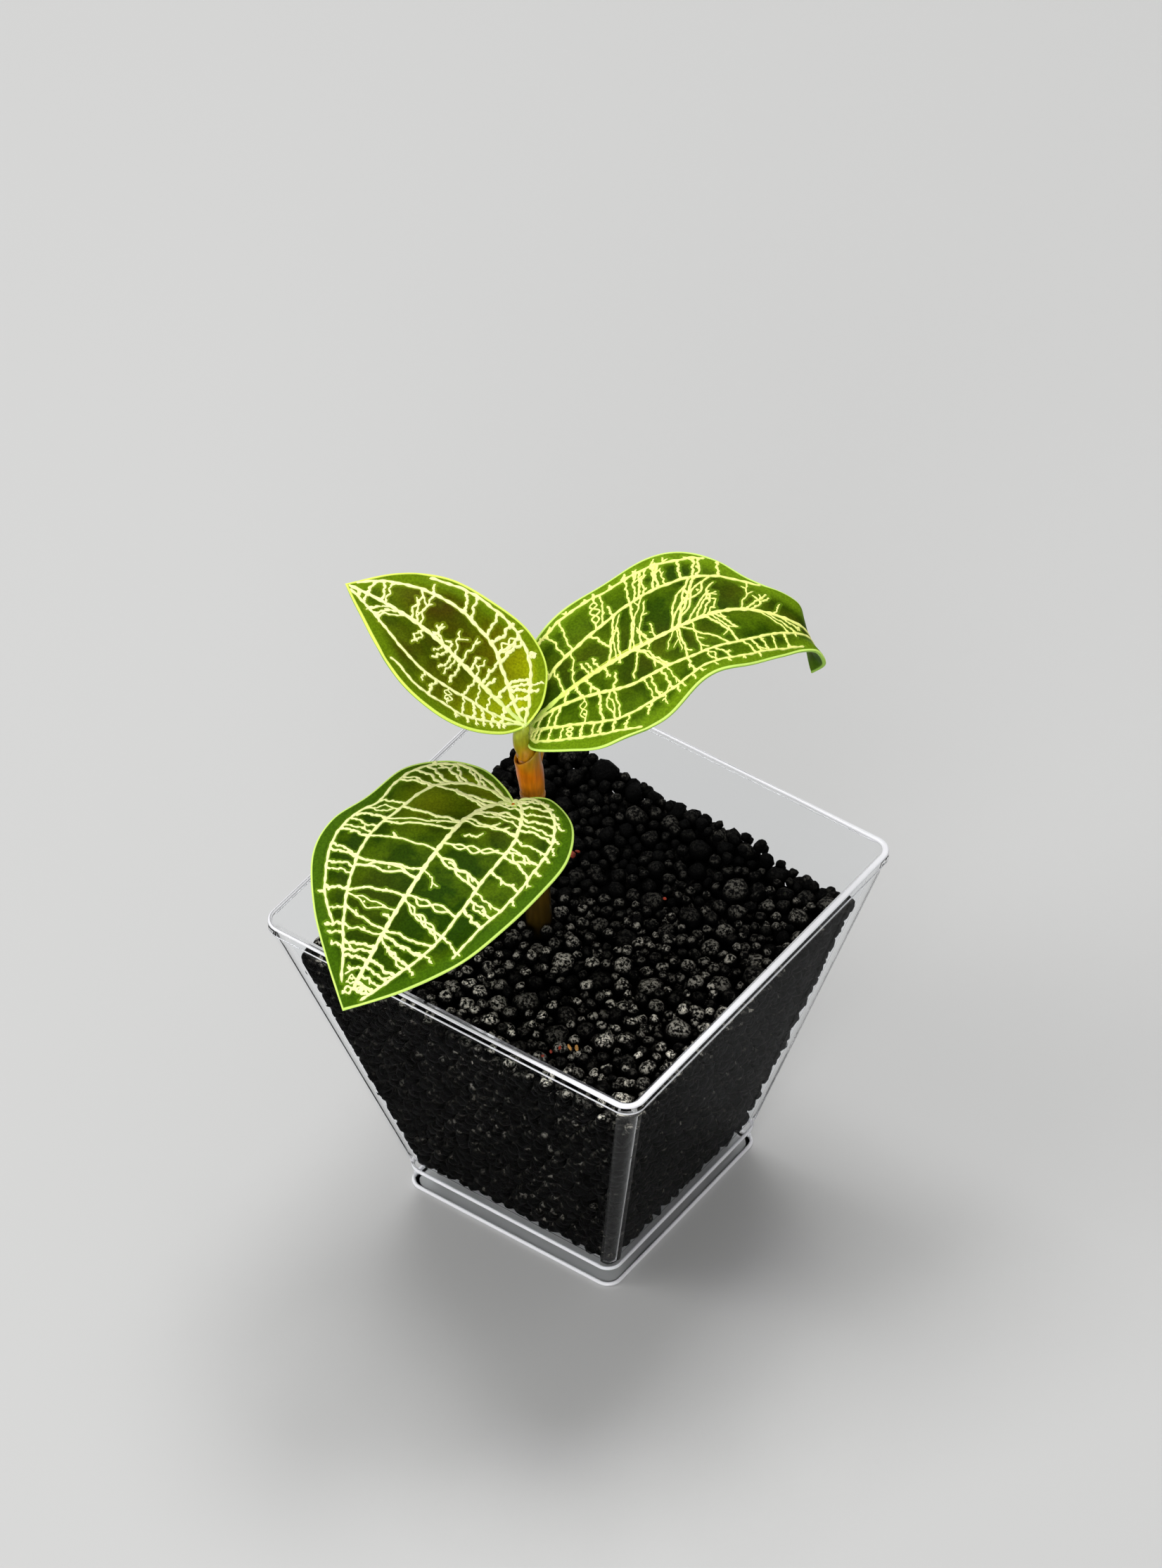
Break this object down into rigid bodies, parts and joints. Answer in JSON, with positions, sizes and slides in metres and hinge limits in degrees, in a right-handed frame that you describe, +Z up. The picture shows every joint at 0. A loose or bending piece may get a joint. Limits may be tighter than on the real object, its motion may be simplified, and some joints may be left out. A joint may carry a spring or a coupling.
{
  "type": "potted jewel orchid",
  "caption": "Small jewel orchid: a short upright stem with broad dark-green leaves netted with pale gold veins, rooted in black granules in a clear, square, tapered pot.",
  "frame": {"origin": "centre of the pot's flat underside", "axes": "+Z up, -Y towards the side that the largest leaf hangs over, X and Y square to the pot's walls"},
  "size_m": [0.0753, 0.0865, 0.1083],
  "materials": {
    "pot": "gloss",
    "granules": "matte",
    "roots": "matte",
    "stem": "satin",
    "leaf_green": "satin",
    "leaf_olive": "satin"
  },
  "bodies": {
    "root": {"pot": "pot", "granules": "granules", "roots": "roots", "stem": "stem", "leaf_heart": "leaf_green", "leaf_right": "leaf_green", "leaf_left": "leaf_olive"}
  },
  "joints": []
}
